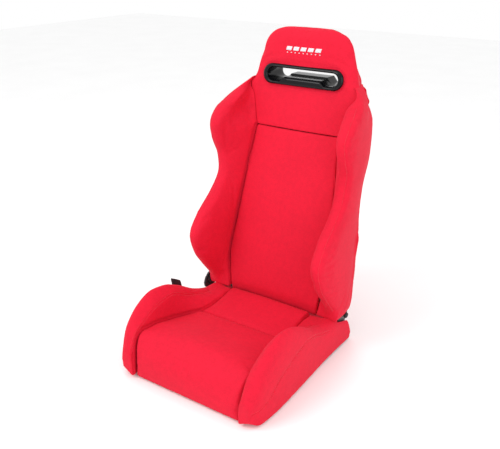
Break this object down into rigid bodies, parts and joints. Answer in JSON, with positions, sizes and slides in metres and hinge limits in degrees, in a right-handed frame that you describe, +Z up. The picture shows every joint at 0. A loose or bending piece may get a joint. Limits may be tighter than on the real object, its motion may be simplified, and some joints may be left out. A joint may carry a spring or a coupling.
{
  "type": "reclining sport bucket seat",
  "caption": "Reclining cloth-covered sport bucket seat with winged backrest, integral headrest with a pass-through slot, thigh bolsters, and a release lever",
  "frame": {"origin": "middle of the seat's footprint, front to back and side to side, at the underside of the side rails", "axes": "+Z up, -Y the way the occupant faces, +X the occupant's left"},
  "size_m": [0.5348, 0.7434, 0.996],
  "materials": {
    "seat_fabric": "knitted polyester cloth over foam",
    "tag_fabric": "woven label",
    "frame_steel": "satin black powder coat",
    "bright_steel": "zinc plated",
    "black_plastic": "textured moulding",
    "gloss_plastic": "gloss moulding"
  },
  "bodies": {
    "base": {"bracket_bolt_left_1": "bright_steel", "bracket_bolt_left_2": "bright_steel", "bracket_bolt_right_1": "bright_steel", "bracket_bolt_right_2": "bright_steel", "cushion_front": "seat_fabric", "cushion_rear": "seat_fabric", "front_cross_tube": "frame_steel", "pivot_bolt_left": "bright_steel", "pivot_bolt_right": "bright_steel", "pivot_cap": "black_plastic", "pivot_nut_left": "bright_steel", "pivot_nut_right": "bright_steel", "rear_cross_tube": "frame_steel", "recliner_base_plate_left": "frame_steel", "recliner_base_plate_right": "frame_steel", "return_spring_left": "bright_steel", "return_spring_right": "bright_steel", "seat_spring_1": "bright_steel", "seat_spring_2": "bright_steel", "seat_spring_3": "bright_steel", "seat_spring_4": "bright_steel", "side_rail_left": "frame_steel", "side_rail_right": "frame_steel", "side_tag": "tag_fabric", "thigh_bolster_left": "seat_fabric", "thigh_bolster_right": "seat_fabric"},
    "backrest": {"back_insert": "seat_fabric", "back_lower_bar": "frame_steel", "back_middle_bar": "frame_steel", "back_spring_1": "bright_steel", "back_spring_2": "bright_steel", "back_spring_3": "bright_steel", "back_top_bar": "frame_steel", "back_upright_left": "frame_steel", "back_upright_right": "frame_steel", "back_wing_left": "seat_fabric", "back_wing_right": "seat_fabric", "bezel_front": "gloss_plastic", "bezel_rear": "gloss_plastic", "headrest_pad": "seat_fabric", "rear_cover": "seat_fabric", "sector_arm_left": "frame_steel", "sector_arm_right": "frame_steel"},
    "lever": {"lever_grip": "black_plastic", "release_lever": "frame_steel"},
    "pawls": {"pawl_left": "bright_steel", "pawl_right": "bright_steel", "pawl_shaft": "bright_steel"}
  },
  "joints": [
    {"name": "recline", "type": "hinge", "parent": "base", "child": "backrest", "pos_m": [0, 0.1762, 0.11], "axis": [1, 0, 0], "range_deg": [-60, 15]},
    {"name": "lever_pull", "type": "hinge", "parent": "base", "child": "lever", "pos_m": [0, 0.1762, 0.11], "axis": [-1, 0, 0], "range_deg": [0, 25], "stiffness_Nm_per_rad": 2, "springref_deg": -22.92},
    {"name": "pawl_release", "type": "hinge", "parent": "base", "child": "pawls", "pos_m": [0, 0.1254, 0.0744], "axis": [-1, 0, 0], "range_deg": [0, 20]}
  ],
  "couplings": [
    {"joint": "pawl_release", "follows": "lever_pull", "ratio": 0.8}
  ]
}
